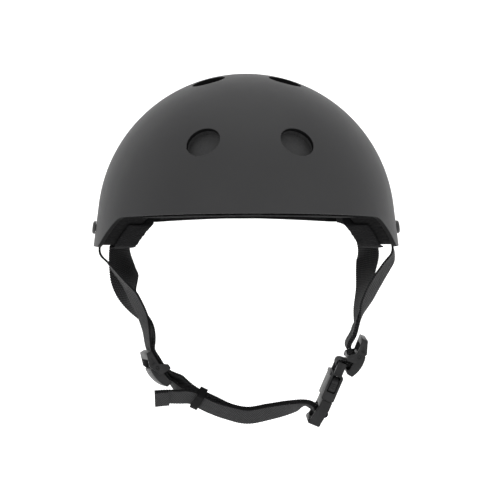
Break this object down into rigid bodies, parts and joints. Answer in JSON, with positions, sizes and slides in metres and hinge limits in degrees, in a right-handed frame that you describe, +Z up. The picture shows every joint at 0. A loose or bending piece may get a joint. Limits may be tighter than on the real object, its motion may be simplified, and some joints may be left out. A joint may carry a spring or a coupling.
{
  "type": "skateboard helmet",
  "caption": "Round hard-shell skateboard helmet with round vents, foam liner, pads and a webbing chin harness with a side release buckle.",
  "frame": {"origin": "middle of the head opening, level with the bottom edge of the shell's ear tabs; the head mount is there", "axes": "+Z up through the crown, the brow faces -Y, +X is the viewer's right when looking at the brow (the wearer's left)"},
  "size_m": [0.2114, 0.2594, 0.2443],
  "materials": {
    "shell_plastic": "fine matt",
    "foam": "moulded bead foam",
    "hook_tape": "hook tape",
    "pad_fabric": "knitted",
    "rivet_metal": "black satin",
    "washer_metal": "plain",
    "webbing": "woven",
    "buckle_plastic": "satin moulded"
  },
  "bodies": {
    "helmet": {"shell": "shell_plastic", "eps_liner": "foam", "pad_hook_patches": "hook_tape", "front_pad": "pad_fabric", "rear_pad": "pad_fabric", "side_pad_left": "pad_fabric", "side_pad_right": "pad_fabric", "crown_pad": "pad_fabric", "strap_rivets": "rivet_metal", "rivet_washers": "washer_metal", "front_strap_left": "webbing", "front_strap_right": "webbing", "rear_strap_left": "webbing", "rear_strap_right": "webbing", "front_strap_end_left": "webbing", "chin_strap": "webbing", "socket_loop": "webbing", "buckle_socket": "buckle_plastic"},
    "divider_left": {"divider_body_left": "buckle_plastic"},
    "divider_right": {"divider_body_right": "buckle_plastic"},
    "lever_left": {"divider_lever_left": "buckle_plastic"},
    "lever_right": {"divider_lever_right": "buckle_plastic"},
    "keeper": {"strap_keeper": "buckle_plastic"},
    "plug": {"buckle_plug": "buckle_plastic"},
    "latch_front": {"latch_arm_front": "buckle_plastic"},
    "latch_rear": {"latch_arm_rear": "buckle_plastic"}
  },
  "joints": [
    {"name": "buckle_release", "type": "slide", "parent": "helmet", "child": "plug", "axis": [-0.3923, 0, -0.9198], "range_m": [0, 0.022], "deforming": ["chin_strap", "latch_arm_front", "latch_arm_rear"]},
    {"name": "latch_front", "type": "hinge", "parent": "plug", "child": "latch_front", "pos_m": [0.05465, -0.0032, -0.10894], "axis": [-0.9198, 0, 0.3923], "range_deg": [0, 10], "stiffness_Nm_per_rad": 0.13},
    {"name": "latch_rear", "type": "hinge", "parent": "plug", "child": "latch_rear", "pos_m": [0.05465, 0.0152, -0.10894], "axis": [0.9198, 0, -0.3923], "range_deg": [0, 10], "stiffness_Nm_per_rad": 0.13},
    {"name": "divider_left_slide", "type": "slide", "parent": "helmet", "child": "divider_left", "axis": [0.5045, 0, -0.8634], "range_m": [-0.006, 0.006], "deforming": ["front_strap_left", "rear_strap_left", "front_strap_end_left", "chin_strap"]},
    {"name": "divider_right_slide", "type": "slide", "parent": "helmet", "child": "divider_right", "axis": [-0.36, 0, -0.933], "range_m": [-0.008, 0.002], "deforming": ["front_strap_right", "rear_strap_right", "socket_loop"]},
    {"name": "lever_left", "type": "hinge", "parent": "divider_left", "child": "lever_left", "pos_m": [-0.06374, 0.00719, -0.08481], "axis": [-0.1795, 0.9781, -0.1049], "range_deg": [0, 95]},
    {"name": "lever_right", "type": "hinge", "parent": "divider_right", "child": "lever_right", "pos_m": [0.0781, 0.006, -0.07616], "axis": [0, -1, 0], "range_deg": [0, 95]},
    {"name": "keeper_slide", "type": "slide", "parent": "helmet", "child": "keeper", "axis": [0.8988, 0, -0.4384], "range_m": [0, 0.008]}
  ]
}
